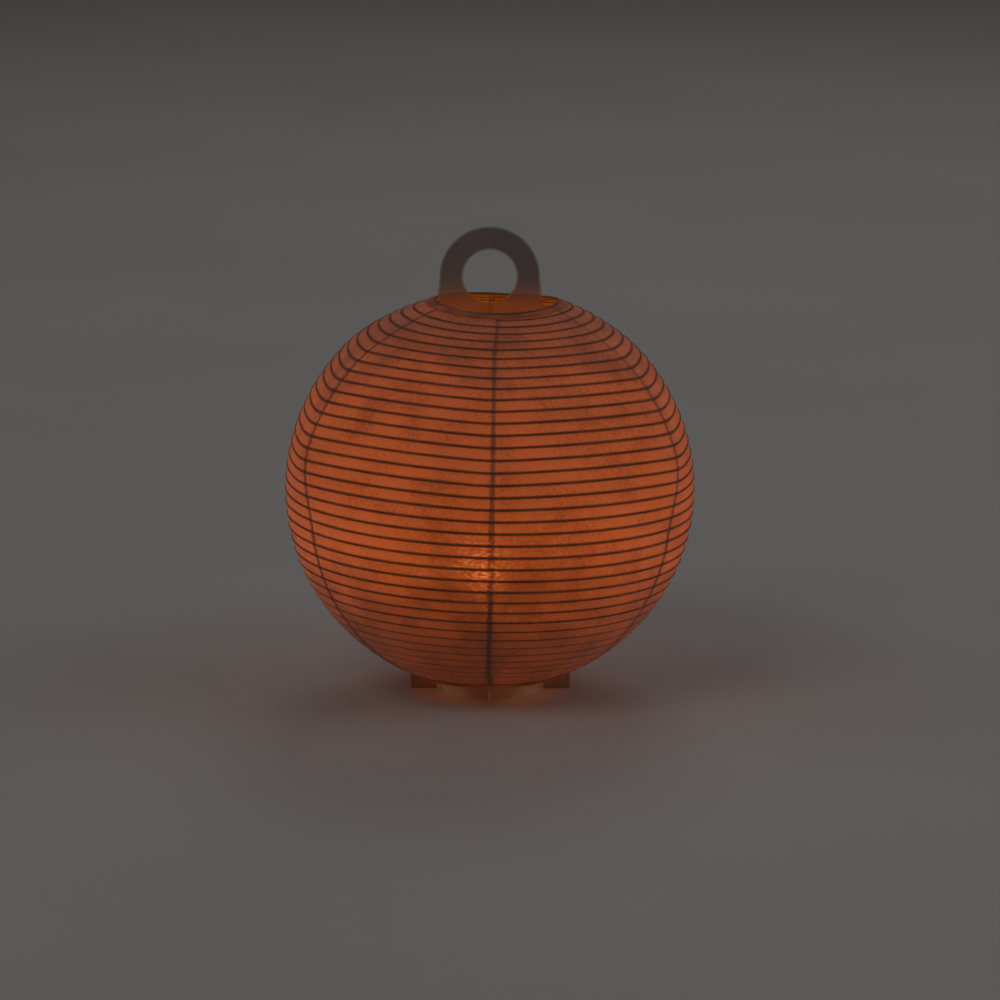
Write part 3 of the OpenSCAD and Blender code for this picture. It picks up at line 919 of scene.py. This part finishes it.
# %% Floor
def make_floor():
    finish, nodes, join, ground = new_finish("pale_floor")
    cloud = noise(nodes, join, 3, 3)
    tone = blend_colours(nodes, join, ranged(nodes, join, cloud, 0.3, 0.7, 0, 1),
                         (0.60, 0.585, 0.56, 1), (0.64, 0.625, 0.60, 1))
    join(tone, ground.inputs["Base Color"])
    ground.inputs["Roughness"].default_value = 0.75
    return finish


FLOOR_HALF = 12.0
floor_mesh = bpy.data.meshes.new("floor")
floor_mesh.from_pydata(
    [(-FLOOR_HALF, -FLOOR_HALF, 0), (FLOOR_HALF, -FLOOR_HALF, 0),
     (FLOOR_HALF, FLOOR_HALF, 0), (-FLOOR_HALF, FLOOR_HALF, 0)],
    [], [(0, 1, 2, 3)],
)
floor_mesh.materials.append(make_floor())
floor = bpy.data.objects.new("floor", floor_mesh)
bpy.context.scene.collection.objects.link(floor)


def soft_lamp(name, place_at, aim_at, size, power, colour):
    lamp = bpy.data.lights.new(name, "AREA")
    lamp.shape = "DISK"
    lamp.size = size
    lamp.energy = power
    lamp.color = colour
    stand = bpy.data.objects.new(name, lamp)
    stand.location = place_at
    stand.rotation_euler = (Vector(aim_at) - Vector(place_at)).to_track_quat("-Z", "Y").to_euler()
    bpy.context.scene.collection.objects.link(stand)
    return stand


soft_lamp("key_light", (-1.1, -1.5, 1.9), (0, 0, 0.08), 1.4, 4.0, (1.0, 0.96, 0.90))
soft_lamp("fill_light", (1.6, -0.8, 1.3), (0, 0, 0.08), 1.4, 1.8, (0.97, 0.97, 0.98))
soft_lamp("left_light", (-1.9, 0.25, 0.45), (0, 0, 0.08), 1.2, 2.6, (0.90, 0.95, 1.0))
soft_lamp("right_light", (1.9, 0.25, 0.45), (0, 0, 0.08), 1.2, 2.6, (0.90, 0.95, 1.0))
soft_lamp("back_light", (0.3, 1.8, 1.6), (0, 0, 0.10), 1.2, 2.5, (1.0, 0.98, 0.95))
room = bpy.data.worlds.new("room")
room.use_nodes = True
room.node_tree.nodes["Background"].inputs["Color"].default_value = (0.95, 0.96, 1.0, 1)
room.node_tree.nodes["Background"].inputs["Strength"].default_value = 0.06
bpy.context.scene.world = room
print("studio ready")

# %% [markdown]
# ## Camera
# A long lens from about two metres looks down on the lantern at a low angle, so that its round
# outline hardly distorts.

# %% Camera
CAMERA_DOWN = 11.64
CAMERA_AWAY = 2.1
CAMERA_AIM = Vector((3.95 * MM, 0, 75.6 * MM))
tilt = math.radians(CAMERA_DOWN)
camera = bpy.data.objects.new("camera", bpy.data.cameras.new("camera"))
camera.data.lens = 193
camera.data.sensor_width = 36
camera.location = CAMERA_AIM + CAMERA_AWAY * Vector((0, -math.cos(tilt), math.sin(tilt)))
camera.rotation_euler = (math.radians(90) - tilt, 0, 0)
camera.data.clip_start = 0.05
camera.data.clip_end = 60
bpy.context.scene.collection.objects.link(camera)
bpy.context.scene.camera = camera
print("camera at", tuple(round(v, 3) for v in camera.location))
